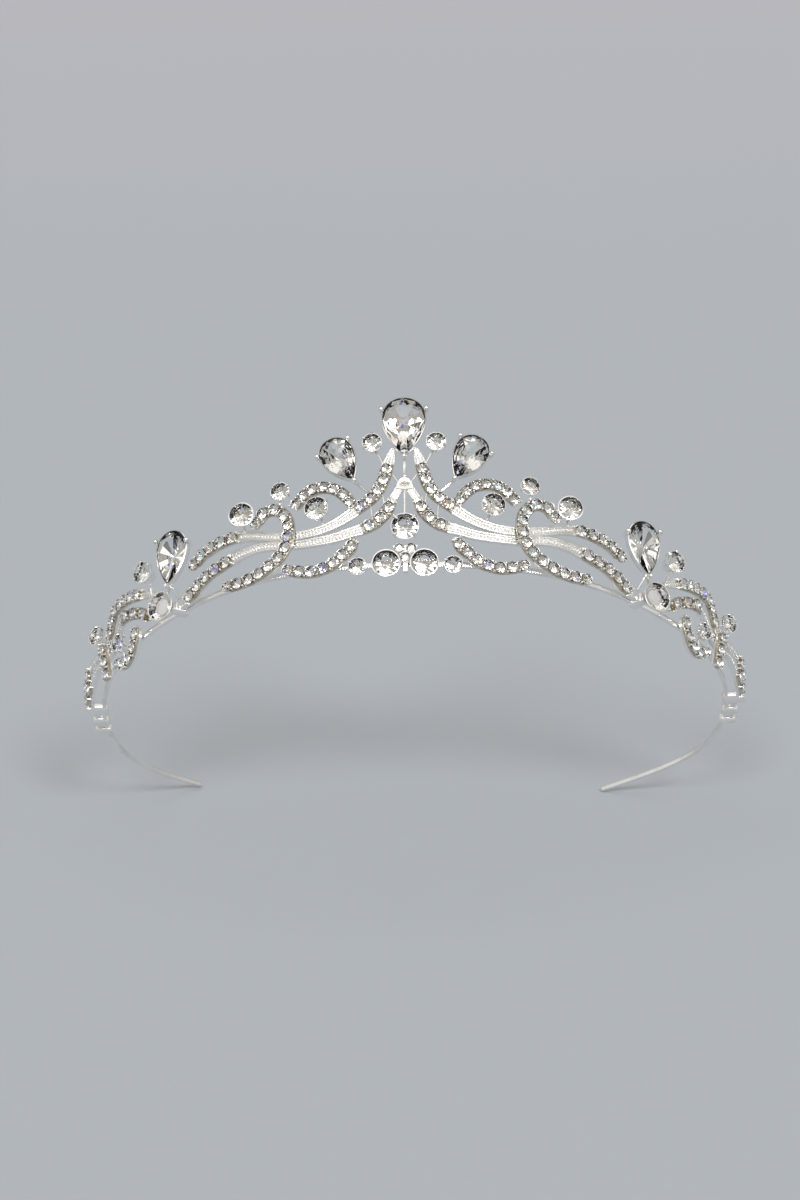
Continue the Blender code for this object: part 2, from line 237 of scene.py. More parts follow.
class Value:
    """A shader socket that sums and products can be written with."""

    def __init__(self, look, socket):
        self.look = look
        self.socket = socket

    def join(self, operation, first, second):
        return self.look.node("ShaderNodeMath", {"operation": operation}, {0: first, 1: second})

    def __add__(self, other):
        return self.join('ADD', self, other)

    def __radd__(self, other):
        return self.join('ADD', other, self)

    def __sub__(self, other):
        return self.join('SUBTRACT', self, other)

    def __rsub__(self, other):
        return self.join('SUBTRACT', other, self)

    def __mul__(self, other):
        return self.join('MULTIPLY', self, other)

    def __rmul__(self, other):
        return self.join('MULTIPLY', other, self)


class Nodes:
    """Builds shader maths in one tree and feeds it to the tree's shader."""

    def __init__(self, owner, shader, **constants):
        owner.use_nodes = True
        self.tree = owner.node_tree
        self.shader = self.tree.nodes[shader]
        self.set(**constants)

    def set(self, **inputs):
        for name, value in inputs.items():
            self.give(self.shader.inputs[name.replace("_", " ")], value)

    def give(self, target, value):
        if isinstance(value, Value):
            self.tree.links.new(value.socket, target)
        elif isinstance(value, tuple) and len(value) == 3 and len(target.default_value) == 4:
            target.default_value = (*value, 1)
        else:
            target.default_value = value

    def node(self, kind, settings=None, inputs=None, output=0):
        node = self.tree.nodes.new(kind)
        for name, value in (settings or {}).items():
            if name == "interpolation":
                node.color_ramp.interpolation = value
            elif name == "stops":
                for stop in value[2:]:
                    node.color_ramp.elements.new(stop[0])
                for element, stop in zip(node.color_ramp.elements, value):
                    element.position = stop[0]
                    element.color = (*stop[1], 1)
            else:
                setattr(node, name, value)
        for name, value in (inputs or {}).items():
            self.give(node.inputs[name], value)
        return Value(self, node.outputs[output])

    def range(self, value, low, high, start=0.0, end=1.0, soft=False):
        """Maps low..high onto start..end and holds the ends."""
        kind = 'SMOOTHSTEP' if soft else 'LINEAR'
        return self.node("ShaderNodeMapRange", {"interpolation_type": kind},
                         {0: value, 1: low, 2: high, 3: start, 4: end})

    def noise(self, size, detail=2.0):
        """Cloudy values from 0 to 1 with features about size metres across."""
        where = self.node("ShaderNodeTexCoord", output="Object")
        return self.node("ShaderNodeTexNoise", {},
                         {"Vector": where, "Scale": 1 / size, "Detail": detail})

    def mix(self, factor, first, second):
        return self.node("ShaderNodeMix", {"data_type": 'RGBA'},
                         {"Factor": factor, 6: first, 7: second}, 2)

    def bump(self, height, depth, strength=1.0):
        self.set(Normal=self.node("ShaderNodeBump", {},
                                  {"Height": height, "Distance": depth, "Strength": strength}))


class Look(Nodes):
    """A material on one Principled shader, with its constants set on its sockets."""

    def __init__(self, name, **constants):
        self.material = bpy.data.materials.new(name)
        super().__init__(self.material, "Principled BSDF", **constants)


BRIGHT_SILVER = (0.95, 0.94, 0.92)
TARNISHED_SILVER = (0.82, 0.805, 0.77)
TARNISH_CLOUD = 0.006
TARNISH_DULLS = 0.06
SCUFFS_DULL = 0.05


def plate(name, smooth, grain, depth):
    """Bright silver plate: thin tarnish in clouds, and the skin of the metal under it."""
    look = Look(name, Metallic=1.0)
    tarnish = look.range(look.noise(TARNISH_CLOUD, 3.0), 0.45, 0.72)
    scuffs = look.noise(grain * 2)
    look.set(Base_Color=look.mix(tarnish, BRIGHT_SILVER, TARNISHED_SILVER),
             Roughness=smooth + TARNISH_DULLS * tarnish + SCUFFS_DULL * scuffs)
    look.bump(look.noise(grain, 4.0), depth)
    return look.material


drawn_plate = plate("drawn_plate", smooth=0.20, grain=0.0006, depth=0.00002)

TEETH_END = 53.0
TOOTH_PITCH = 0.62
TOOTH_DEPTH = 0.22
RINGS_PER_TOOTH = 4
WIRE_EDGE = 0.18        # how far the wire's corners are rounded
CORNER_PULL = 0.3
TIP_RUN = 0.5           # the ends thin out over this length
TIP_THIN = 0.6


def headband():
    """A rounded oblong swept round the horseshoe, toothed below along the front."""
    shape = Shape()
    half, middle = BAND_THICK / 2, BAND_TALL / 2
    rings = []
    count = int(BAND_LENGTH / (TOOTH_PITCH / RINGS_PER_TOOTH))
    for i in range(count + 1):
        s = min(BAND_LENGTH * i / count, BAND_LENGTH) - LEFT_LENGTH
        toothed = abs(s) < TEETH_END
        cut = TOOTH_DEPTH * (math.cos(2 * math.pi * s / TOOTH_PITCH) > 0) if toothed else 0
        tip = min(s + LEFT_LENGTH, BAND_LENGTH - LEFT_LENGTH - s)
        shrink = 1 - TIP_THIN * max(0, 1 - tip / TIP_RUN) ** 2
        profile = []
        for o, h in ((-half, 0), (half, 0), (half, BAND_TALL), (-half, BAND_TALL)):
            inward = WIRE_EDGE if o < 0 else -WIRE_EDGE
            upward = WIRE_EDGE if h == 0 else -WIRE_EDGE
            low = cut if h == 0 and o > 0 else 0
            first, second = (o + inward, h + low), (o, h + upward + low)
            corner = (o + inward * CORNER_PULL, h + upward * CORNER_PULL + low)
            order = [second, corner, first] if (o < 0) == (h == 0) else [first, corner, second]
            profile.extend(order)
        rings.append([plain(s, middle + (h - middle) * shrink, o * shrink) for o, h in profile])
    shape.sweep(rings)
    shape.piece("headband_wire", [drawn_plate], "silver", replaces=["headband"])


headband()

# =====================================================================
# Castings.  Openwork strips cast in alloy and plated: a shallow channel
# between two smooth rails.  Plain stretches carry rows of fine grains;
# elsewhere small crystals sit in cups, pinned by beads raised between.
# =====================================================================
GAP = 0.3
CAST_BACK = BAND_THICK / 2 + GAP
CAST_FRONT = 2.0
OVER_BACK = 2.2         # the castings that lie over others
OVER_FRONT = 3.3
WIDEN = 1.08            # plain rails stand a little outside the cast outline
NARROW = 0.96           # and draw in under the stones
TAPER = 0.7             # how much and how far an end narrows
CHANNEL_STEP = 0.35
BACK_SHARE = 0.86       # the casting's back and the channel's bed, as shares of its width
BED_SHARE = 0.40
FLOOR_DROP = 0.40
GRAIN = 0.27
GRAIN_PITCH = 0.72
GRAIN_START = 0.9
GRAIN_STOP = 0.6
GRAIN_SHARE = 0.16      # the largest grain, as a share of the width
GRAIN_NEEDS = 1.2       # no grains where the casting is narrower
STONE = 1.27            # radius of a small stone
STONE_LEAN = 5
CUP_RIM = 0.06
CUP_SIDES = 18
CUP_BELOW = 0.6
GIRDLE_ABOVE = 0.52     # the stones' girdles over the casting's front
BEAD = 0.30
BEAD_STEM = 0.85        # of the bead's own radius
BEAD_ROOT = 0.4
BEAD_SINK = 0.02
BEAD_REACH = 0.95       # from the row's middle out to its beads
COVER = 0.55            # how far a row's end stones cover the channel, in pitches
STRIPS = {
    # outline: s, h, width.  rows: first s and h, last s and h, how many stones
    "ribbon_upper": dict(
        outline=[(2.4, 27.2, 0.8), (2.9, 25.0, 2.0), (3.7, 22.3, 2.8), (4.8, 18.8, 2.9),
                 (6.6, 16.0, 2.9), (9.1, 13.9, 2.8), (13.2, 11.0, 2.3), (17.5, 9.2, 2.0),
                 (24.4, 8.75, 1.9), (29.5, 9.7, 2.1), (35.2, 11.2, 2.4), (40.9, 11.3, 2.9),
                 (45.9, 10.0, 2.9), (48.1, 8.6, 2.7)],
        rows=[(3.7, 22.3, 9.1, 13.9, 5), (37.8, 11.6, 48.1, 8.6, 5)]),
    "ribbon_lower": dict(
        outline=[(2.3, 15.3, 1.2), (3.3, 13.4, 2.8), (4.9, 11.1, 2.9), (7.4, 9.2, 2.9),
                 (10.2, 8.3, 2.5), (14, 7.2, 2.2), (19, 6.6, 2.0), (24.4, 6.6, 1.9),
                 (29.5, 7.4, 2.1), (35, 7.3, 2.4), (39.7, 6.2, 2.9), (45.7, 4.4, 2.9),
                 (50.4, 1.7, 2.6), (52.2, 0.8, 1.2), (56.0, 0.65, 1.2)],
        rows=[(3.3, 13.4, 7.4, 9.2, 3), (39.7, 6.2, 50.0, 2.0, 5)]),
    "arch": dict(
        outline=[(10.4, 13.6, 2.0), (11.6, 15.6, 2.6), (13.6, 17.8, 2.7), (16.4, 19.0, 2.8),
                 (19.0, 18.8, 2.8), (21.4, 17.2, 2.8), (23.3, 15.0, 2.4)],
        rows=[(11.3, 15.1, 22.7, 15.8, 7)]),
    "scroll": dict(
        outline=[(31.1, 12.4, 2.8), (29.4, 14.5, 2.8), (27.0, 14.9, 2.8), (24.9, 13.2, 2.8),
                 (24.1, 10.6, 2.8), (24.3, 7.8, 2.8), (25.3, 5.1, 2.8), (28.9, 1.8, 2.8),
                 (33.7, 0.0, 2.8), (38.6, -0.1, 2.8)],
        rows=[(31.1, 12.4, 38.6, -0.1, 13)], over=True),
    "lower_arc": dict(
        outline=[(10.3, 6.3, 1.0), (11.2, 4.7, 2.8), (12.9, 3.0, 2.8), (14.8, 1.3, 2.8),
                 (17.3, 0.1, 2.8), (20.0, -0.3, 2.8), (22.8, 0.2, 2.8), (24.9, 0.8, 2.6)],
        rows=[(11.2, 4.7, 24.9, 0.8, 7)]),
    "side_arc": dict(
        outline=[(60.6, 6.0, 0.9), (64.0, 8.3, 1.9), (67.9, 9.8, 2.8), (71.9, 10.8, 2.8),
                 (75.9, 11.2, 2.8), (79.2, 10.7, 2.8), (81.6, 8.7, 2.6), (83.3, 6.3, 2.2),
                 (86.5, 4.9, 1.8), (91.5, 4.9, 1.8), (96.5, 5.1, 2.0), (100, 4.7, 2.7),
                 (103.0, 3.9, 2.5)],
        rows=[(67.9, 9.8, 82.7, 7.1, 7), (99.4, 4.8, 103.0, 3.9, 2)]),
    "side_ribbon": dict(
        outline=[(63.6, 1.6, 0.9), (66.1, 4.2, 2.7), (69.8, 6.1, 2.8), (73.7, 7.3, 2.8),
                 (77.6, 6.9, 2.2), (80.4, 5.0, 1.8), (83.0, 3.2, 1.8), (86.5, 2.4, 1.8),
                 (91.5, 2.3, 1.8), (96, 1.8, 1.8), (101, 1.0, 2.0), (105.2, 0.8, 1.2),
                 (119.6, 0.65, 1.2)],
        rows=[(66.1, 4.2, 73.7, 7.3, 3), (99.0, 1.2, 103.4, 0.95, 2)]),
    "side_loop": dict(
        outline=[(70.0, 2.9, 1.4), (70.2, 1.5, 2.4), (71.4, -1.0, 2.5), (73.1, -2.8, 2.5),
                 (75.7, -3.5, 2.5), (78.1, -2.7, 2.4), (79.9, -1.4, 2.2)],
        rows=[(70.3, 1.2, 79.4, -1.8, 5)]),
    "side_column": dict(
        outline=[(84.6, 4.9, 2.2), (84.0, 2.2, 2.7), (83.5, -0.7, 2.7), (83.1, -3.9, 2.4)],
        rows=[(84.3, 3.6, 83.2, -3.1, 3)], over=True),
}
SIDES = ((-1, "left"), (1, "right"))
REACH = 0.1             # half the step that a direction is measured over
GIRDLE_HALF = 0.02      # half the height of a cut stone's girdle
STAR_PUSH = 1.02        # the star facets' corners sit just outside the straight line
chance = random.Random(7)


def axes(s, h, o, turn=0.0):
    """A point with its along, up and outward directions, turned towards the front."""
    middle = place(s, h, o)
    along = (place(s + REACH, h, o) - place(s - REACH, h, o)).normalized()
    up = (place(s, h + REACH, o) - place(s, h - REACH, o)).normalized()
    out = (place(s, h, o + REACH) - place(s, h, o - REACH)).normalized()
    angle = math.radians(turn if s > 0 else -turn)
    facing = out * math.cos(angle) - along * math.sin(angle)
    return middle, along * math.cos(angle) + out * math.sin(angle), up, facing


def brilliant(outline, mains, table, crown, pavilion, centre=(0, 0)):
    """A foiled brilliant on any outline.  Returns points, front facets and back facets."""
    points, front, back = [], [], []
    step = math.pi / mains

    def put(turn, reach, height):
        x, y = outline(turn)
        points.append((centre[0] + (x - centre[0]) * reach,
                       centre[1] + (y - centre[1]) * reach, height))
        return len(points) - 1

    upper = [put(step * i, 1, GIRDLE_HALF) for i in range(2 * mains)]
    lower = [put(step * i, 1, -GIRDLE_HALF) for i in range(2 * mains)]
    corners = [put(2 * step * i, table, crown) for i in range(mains)]
    star_reach = (1 + table) / 2 * STAR_PUSH
    rise = crown * (1 - star_reach * math.cos(step)) / (1 - table)
    stars = [put(2 * step * i + step, star_reach, rise) for i in range(mains)]
    culet = len(points)
    points.append((*centre, -pavilion))
    front.append(tuple(corners))
    for i in range(mains):
        j = (i + 1) % mains
        tip, mid, far = 2 * i, 2 * i + 1, (2 * i + 2) % (2 * mains)
        front.append((corners[i], stars[i], corners[j]))
        front.append((corners[i], stars[i - 1], upper[tip], stars[i]))
        front.append((stars[i], upper[tip], upper[mid]))
        front.append((stars[i], upper[mid], upper[far]))
    for i in range(2 * mains):
        j = (i + 1) % (2 * mains)
        back.append((culet, lower[j], lower[i]))
        front.append((upper[i], lower[i], lower[j], upper[j]))
    return points, front, back


def circle(turn):
    return math.cos(turn), math.sin(turn)


ROUND_CUT = brilliant(circle, mains=6, table=0.58, crown=0.26, pavilion=0.84)


def set_stone(shape, cut, middle, along, up, out, size, spin=0.0, lean=0.0):
    """Drops a cut stone into the shape, turned by spin and tipped by a small lean."""
    points, front, back = cut
    tip = math.radians(lean)
    way = chance.uniform(0, 2 * math.pi)
    out = (out + (along * math.cos(way) + up * math.sin(way)) * math.tan(tip)).normalized()
    up = (up - out * up.dot(out)).normalized()
    along = up.cross(out)
    turned = (along * math.cos(spin) + up * math.sin(spin),
              up * math.cos(spin) - along * math.sin(spin))
    placed = [middle + (turned[0] * x + turned[1] * y + out * z) * size * MM
              for x, y, z in points]
    shape.add(placed, front + back, [0] * len(front) + [1] * len(back))


def crystal_looks():
    """Clear lead glass in front, and the silvered foil that backs it, tinted cell by cell with
    painted fire.
    """
    glass = Look("crystal", Base_Color=(0.97, 0.975, 0.98), Roughness=0.0, IOR=1.38,
                 Transmission_Weight=1.0)
    foil = Look("foil_with_painted_fire", Metallic=1.0, Roughness=0.02)
    where = foil.node("ShaderNodeTexCoord", output="Object")
    cell = foil.node("ShaderNodeTexVoronoi", {}, {"Vector": where, "Scale": 1400.0}, 1)
    pick = foil.node("ShaderNodeSeparateColor", {}, {0: cell})
    # painted fire: the foil's cells are tinted violet, orange and blue as coloured glints
    foil.set(Base_Color=foil.node("ShaderNodeValToRGB", {"interpolation": 'CONSTANT', "stops": [
        (0.0, (0.97, 0.95, 0.91)), (0.40, (0.99, 0.98, 0.96)), (0.50, (0.52, 0.50, 0.98)),
        (0.515, (0.93, 0.92, 0.90)), (0.66, (1.00, 0.80, 0.66)), (0.675, (0.80, 0.76, 0.68)),
        (0.72, (0.98, 0.97, 0.95)), (0.97, (0.80, 0.93, 0.98))]}, {0: pick}))
    return [glass.material, foil.material]


crystal = crystal_looks()
cast_plate = plate("cast_plate", smooth=0.24, grain=0.00035, depth=0.00003)


def yellowed_plate_painted_shade():
    """The same plate down between the stones: yellowed, and darkened as painted shade."""
    look = Look("yellowed_plate_painted_shade", Metallic=1.0)
    stain = look.range(look.noise(0.0012, 3.0), 0.35, 0.65)
    # painted shade: both tones are darkened, and the stain mixes them at random
    look.set(Base_Color=look.mix(stain, (0.70, 0.65, 0.56), (0.44, 0.40, 0.32)),
             Roughness=0.30 + 0.15 * stain)
    look.bump(look.noise(0.0004, 3.0), 0.00003)
    return look.material


# the second look is yellowed plate darkened as painted shade, for the cup walls, the channel
# under the stones and the piercing's backing
cast_looks = [cast_plate, yellowed_plate_painted_shade()]


def nearest(sample, length, s, h):
    """Where along an outline it passes closest to a point."""
    steps = np.linspace(0, length, 400)
    gaps = [math.hypot(sample(t)[0] - s, sample(t)[1] - h) for t in steps]
    return float(steps[int(np.argmin(gaps))])


def beside(sample, length, side, t, e, o):
    """A point e to the left of an outline at t, at the level o."""
    s, h, width = sample(t)
    before, after = sample(max(t - NUDGE, 0)), sample(min(t + NUDGE, length))
    ds, dh = after[0] - before[0], after[1] - before[1]
    size = math.hypot(ds, dh)
    return place(side * (s - dh / size * e), h + ds / size * e, o)


def channel(metal, sample, length, side, back, front, covered=()):
    """The casting's section, a channel between doubled rails, along its outline."""
    rings = []
    shaded = []
    count = int(length / CHANNEL_STEP)
    for i in range(count + 1):
        t = length * i / count
        end = min(t, length - t)
        under = any(a < t < b for a, b in covered)
        if under and i < count:
            shaded.append(i)
        widen = NARROW if under else WIDEN
        half = sample(t)[2] * widen / 2 * (1 - TAPER * max(0, 1 - end / TAPER) ** 2)
        slim = min(1, half)
        low = front - FLOOR_DROP * slim
        # a rail's points: how far out, as a share of the half width, and how high
        edges = [(1, -0.5), (0.97, -0.1), (0.88, 0), (0.79, -0.1), (0.70, -0.26 * slim),
                 (0.61, -0.08), (0.54, -0.02), (0.47, -0.1)]
        profile = [(-half * BACK_SHARE, back), (half * BACK_SHARE, back)]
        profile += [(half * reach, front + drop) for reach, drop in edges]
        profile += [(half * BED_SHARE, low), (-half * BED_SHARE, low)]
        profile += [(-half * reach, front + drop) for reach, drop in reversed(edges)]
        rings.append([beside(sample, length, side, t, e, o) for e, o in profile])
    metal.sweep(rings, shaded=shaded)


def grain_row(metal, sample, length, side, front, covered):
    """One row of grains down the channel wherever no stones cover it."""
    t = GRAIN_START
    while t < length - GRAIN_STOP:
        width = sample(t)[2]
        if width > GRAIN_NEEDS and not any(a < t < b for a, b in covered):
            size = min(GRAIN, width * GRAIN_SHARE)
            metal.ball(beside(sample, length, side, t, 0, front - FLOOR_DROP + size * 0.7),
                       size * MM)
        t += GRAIN_PITCH


def cup(shape, middle, along, up, out, radius, depth):
    """A turned cup round one small stone, its lip just over the girdle."""
    rings = []
    for reach, level in ((0.80, -depth), (1.0, -0.55), (1.0 + CUP_RIM, -0.05),
                         (1.0 + CUP_RIM * 0.5, 0.07), (0.99, 0.05), (0.97, -0.05),
                         (0.60, -depth)):
        ring = []
        for i in range(CUP_SIDES):
            turn = 2 * math.pi * i / CUP_SIDES
            spoke = along * math.cos(turn) + up * math.sin(turn)
            ring.append(middle + (spoke * radius * reach + out * level) * MM)
        rings.append(ring)
    # painted shade: the walls take the darkened plate, and the lip takes the bright plate
    shape.sweep(rings[:3], 1, caps=False)
    shape.sweep(rings[2:5], 0, caps=False)
    shape.sweep(rings[4:], 1, caps=False)


def casting(name, side, word, outline, rows, over=False):
    """One casting of a side, with its rows of stones, their cups and their beads."""
    back, front = (OVER_BACK, OVER_FRONT) if over else (CAST_BACK, CAST_FRONT)
    length, sample = spline(outline)
    metal, stones = Shape(), Shape()
    covered = []
    for s0, h0, s1, h1, count in rows:
        start, end = nearest(sample, length, s0, h0), nearest(sample, length, s1, h1)
        pitch = (end - start) / (count - 1)
        radius = min(STONE, pitch * 0.5 / (1 + CUP_RIM))
        covered.append((start - pitch * COVER, end + pitch * COVER))
        for i in range(count):
            s, h, _ = sample(start + i * pitch)
            middle, along, up, out = axes(side * s, h, front + GIRDLE_ABOVE)
            spin = chance.uniform(0, math.pi / 4)
            set_stone(stones, ROUND_CUT, middle, along, up, out, radius, spin, STONE_LEAN)
            cup(metal, middle, along, up, out, radius, GIRDLE_ABOVE + CUP_BELOW)
        for i in range(count + 1):
            t = min(max(start + (i - 0.5) * pitch, 0), length)
            for e in (-BEAD_REACH, BEAD_REACH):
                root = beside(sample, length, side, t, e, front - BEAD_ROOT)
                top = beside(sample, length, side, t, e, front + GIRDLE_ABOVE - BEAD_SINK)
                metal.wire([root, top], BEAD * BEAD_STEM * MM)
                metal.ball(top, BEAD * MM)
    channel(metal, sample, length, side, back, front, covered)
    grain_row(metal, sample, length, side, front, covered)
    metal.piece(f"{name}_casting_{word}", cast_looks, "silver", replaces=[f"{name}_{word}"])
    stones.piece(f"{name}_stones_{word}", crystal, "crystal", sharp=None)


for side, word in SIDES:
    for name, shape in STRIPS.items():
        casting(name, side, word, **shape)

# =====================================================================
# Round stones.  Larger crystals in turned cups: smooth bezels with a
# rolled lip, or fluted galleries whose claws are pressed over the girdle.
# =====================================================================
ROUNDS = [
    # name, s, h, diameter, back, depth, turn to the front, claws (0 is a bezel), wire's foot
    ("round_centre", 0, 8.2, 6.3, 0.9, 3.6, 0, 4, None),
    ("bezel_bottom", 3.95, -0.1, 6.4, 0.9, 3.2, 0, 0, None),
    ("round_low", 9.9, -0.4, 4.2, 0.9, 2.8, 0, 6, None),
    ("round_stem", 6.5, 28.1, 4.5, 1.0, 3.2, 0, 6, (4.1, 22.6)),
    ("round_arch", 18.1, 13.8, 5.5, 0.9, 3.2, 0, 6, (16.9, 10.3)),
    ("round_top", 25.9, 19.0, 4.4, 0.9, 3.2, 8, 6, (26.6, 15.0)),
    ("bezel_mid", 35.1, 15.7, 5.8, 0.9, 3.2, 18, 0, (34.6, 12.0)),
    ("bezel_junction", 56.8, 1.5, 6.9, 3.3, 2.0, 14, 0, None),
    ("round_side", 63.1, 12.3, 5.2, 0.9, 4.6, 18, 6, (62.6, 7.6)),
    ("round_loop", 76.4, 1.5, 4.2, 1.5, 2.8, 22, 6, (75.9, -2.9)),
    ("round_high", 87.7, 8.6, 4.6, 0.9, 3.4, 25, 6, (87.2, 5.2)),
]
LARGE_CUT = brilliant(circle, mains=8, table=0.60, crown=0.24, pavilion=0.84)
BEZEL = dict(rim=1.0, wall=0.30, flutes=0, lip=0.14)
GALLERY = dict(rim=0.97, wall=0.16, flutes=16, lip=0.02)
CUP_FLARE = [(0.50, 0.0), (0.56, 0.08), (0.80, 0.45), (0.97, 0.70), (1.0, 0.78)]
FLUTES_END = 0.75       # up the cup, as a share of its depth
FLUTE_DEPTH = 0.07
TURNED_SIDES = 48
SEAT_SHARE = 0.80       # how far up its cup a stone's girdle sits
SEAT_SINK = 0.052
CLAW = 0.34
LARGE_CLAW = 0.52       # where four claws hold a stone instead of six
SPIN = 0.7              # stones are set at any turn up to this, in radians
FOOT_WIRE = 0.35
FOOT_LEVEL = 1.6
ROUND_LEAN = 1.5
turned_plate = plate("turned_plate", smooth=0.13, grain=0.0009, depth=0.00001)


def round_setting(name, tag, s, h, diameter, back, depth, facing, claws, foot):
    """One round stone in its cup, with its claws and the wire that it stands on."""
    middle, along, up, out = axes(s, h, back, facing)
    kind = GALLERY if claws else BEZEL
    seat_level = depth * SEAT_SHARE - SEAT_SINK
    metal, stone = Shape(), Shape()
    rim = diameter / 2 * kind["rim"]
    inner = rim - kind["wall"]
    rings = []
    for reach, level in CUP_FLARE:
        ring = []
        for i in range(TURNED_SIDES):
            turn = 2 * math.pi * i / TURNED_SIDES
            wave = 0.5 - 0.5 * math.cos(kind["flutes"] * turn)
            groove = FLUTE_DEPTH * wave if level < FLUTES_END else 0
            spoke = along * math.cos(turn) + up * math.sin(turn)
            ring.append(middle + (spoke * rim * reach * (1 - groove) + out * depth * level) * MM)
        rings.append(ring)
    lip = kind["lip"]
    for reach, level in ((rim * 0.995, seat_level + lip * 0.6), (rim * 0.96, seat_level + lip),
                         (inner, seat_level + lip * 0.9), (inner * 0.985, seat_level - 0.1),
                         (inner * 0.5, 0.15)):
        ring = []
        for i in range(TURNED_SIDES):
            turn = 2 * math.pi * i / TURNED_SIDES
            spoke = along * math.cos(turn) + up * math.sin(turn)
            ring.append(middle + (spoke * reach + out * level) * MM)
        rings.append(ring)
    metal.sweep(rings)
    centre = middle + out * seat_level * MM
    for i in range(claws):
        turn = 2 * math.pi * (i + 0.5) / claws
        spoke = along * math.cos(turn) + up * math.sin(turn)
        size = CLAW if claws > 4 else LARGE_CLAW
        path = [centre + (spoke * (rim * 0.99) - out * 1.0) * MM,
                centre + (spoke * (rim * 1.02) + out * 0.05) * MM,
                centre + (spoke * (rim * 0.98) + out * 0.32) * MM,
                centre + (spoke * (rim - size * 1.3) + out * 0.45) * MM]
        metal.wire(path, [size * 0.7 * MM, size * 0.75 * MM, size * 0.7 * MM, size * 0.5 * MM])
        metal.ball(path[3], size * 0.55 * MM)
    if foot:
        end = place(math.copysign(foot[0], s), foot[1], FOOT_LEVEL)
        metal.wire([middle + out * depth * 0.3 * MM, end], FOOT_WIRE * MM)
    spin = chance.uniform(0, SPIN)
    set_stone(stone, LARGE_CUT, centre, along, up, out, inner, spin, ROUND_LEAN)
    metal.piece(f"{name}_cup{tag}", [turned_plate], "silver", replaces=[f"{name}{tag}"])
    stone.piece(f"{name}_stone{tag}", crystal, "crystal", sharp=None)


for row in ROUNDS:
    if row[1] == 0:
        round_setting(row[0], "", *row[1:])
        continue
    for side, word in SIDES:
        round_setting(row[0], f"_{word}", side * row[1], *row[2:])

# =====================================================================
# Pear stones.  Five foil-backed pears in pressed cups, each held by
# three ball-ended claws, two at the shoulders and one at the point.
# =====================================================================
PEARS = [
    # name, s, h, width, length, lean of the head outward, turn, wires from the point
    ("centre", 0, 31.6, 10.0, 14.0, 0.0, 0, []),
    ("upper", 12.9, 24.4, 8.0, 11.6, 30.0, 0, [(7.6, 17.1)]),
    ("side", 54.3, 12.3, 8.0, 13.0, -12.0, 20, [(53.2, 2.4), (57.4, 4.6)]),
]
PEAR_BACK = 0.9
CUP_WALL = 0.35
GIRDLE_LEVEL = 2.75
HEAD_FULLNESS = 1.22
TAPER_POWER = 0.75      # how quickly a pear opens out from its point
PRESSED_SIDES = 56
PRESSED_CUP = [
    # how far past the outline, how high, how far out as a share
    (0, 0, 0.62), (0, 0.5, 0.80), (0, 1.3, 0.97), (0, 2.4, 1.0), (-0.08, 2.75, 1.0),
    (-CUP_WALL * 0.8, 2.85, 1.0), (-CUP_WALL, 2.7, 1.0), (-CUP_WALL, 1.6, 0.97),
    (-CUP_WALL, 0.25, 0.45),
]
POINT = 0.02            # just off the point, where the outline's turn starts
CLAW_TURNS = (POINT, math.radians(122), math.radians(238))
CLAW_BALL = 0.62
CLAW_WIRE = [0.42 * MM, 0.40 * MM, 0.42 * MM, 0.40 * MM]
V_WIRE = 0.32
V_WIRE_LEVEL = 1.9


def pear_outline(width, length):
    """The outline as a function of the turn from its point."""
    def at(turn):
        taper = abs(math.sin(turn / 2)) ** TAPER_POWER
        return (width / 2 * math.sin(turn) * taper * HEAD_FULLNESS,
                -length / 2 * math.cos(turn))
    return at


def pear(name, tag, side, s, h, width, length, lean, facing, wires):
    """One pear stone in its cup, with its claws and the wires below its point."""
    middle, along, up, out = axes(s, h, PEAR_BACK, facing)
    tip = math.radians(side * lean)
    right = along * math.cos(tip) - up * math.sin(tip)
    top = along * math.sin(tip) + up * math.cos(tip)
    edge = pear_outline(width, length)
    metal, stone = Shape(), Shape()

    def spot(turn, grow, level, reach=1.0):
        x, y = edge(turn)
        far = math.hypot(x, y)
        scale = (1 + grow / far) * reach
        return middle + (right * x * scale + top * y * scale + out * level) * MM

    metal.sweep([[spot(2 * math.pi * (i + 0.5) / PRESSED_SIDES, grow, level, reach)
                  for i in range(PRESSED_SIDES)] for grow, level, reach in PRESSED_CUP])
    for turn in CLAW_TURNS:
        path = [spot(turn, 0.1, 0.8, 0.93), spot(turn, 0.35, 2.0), spot(turn, 0.40, 3.1),
                spot(turn, 0.15, 3.6)]
        metal.wire(path, CLAW_WIRE)
        metal.ball(spot(turn, 0.28, 3.45), CLAW_BALL * MM, 12)
    for foot in wires:
        end = place(side * foot[0], foot[1], V_WIRE_LEVEL)
        metal.wire([spot(POINT, -0.6, 1.2), end], V_WIRE * MM)
    shrink = 1 - 2 * CUP_WALL / width
    scaled = pear_outline(width * shrink, length * shrink)
    cut = brilliant(scaled, mains=7, table=0.62, crown=0.95, pavilion=2.40,
                    centre=(0, length * 0.04))
    centre = middle + out * GIRDLE_LEVEL * MM
    set_stone(stone, cut, centre, right, top, out, 1.0)
    metal.piece(f"pear_cup_{name}{tag}", [turned_plate], "silver",
                replaces=[f"setting_{name}{tag}"])
    stone.piece(f"pear_stone_{name}{tag}", crystal, "crystal", sharp=None,
                replaces=[f"pear_{name}{tag}"])


for row in PEARS:
    if row[1] == 0:
        pear(row[0], "", 1, *row[1:])
        continue
    for side, word in SIDES:
        pear(row[0], f"_{word}", side, side * row[1], *row[2:])

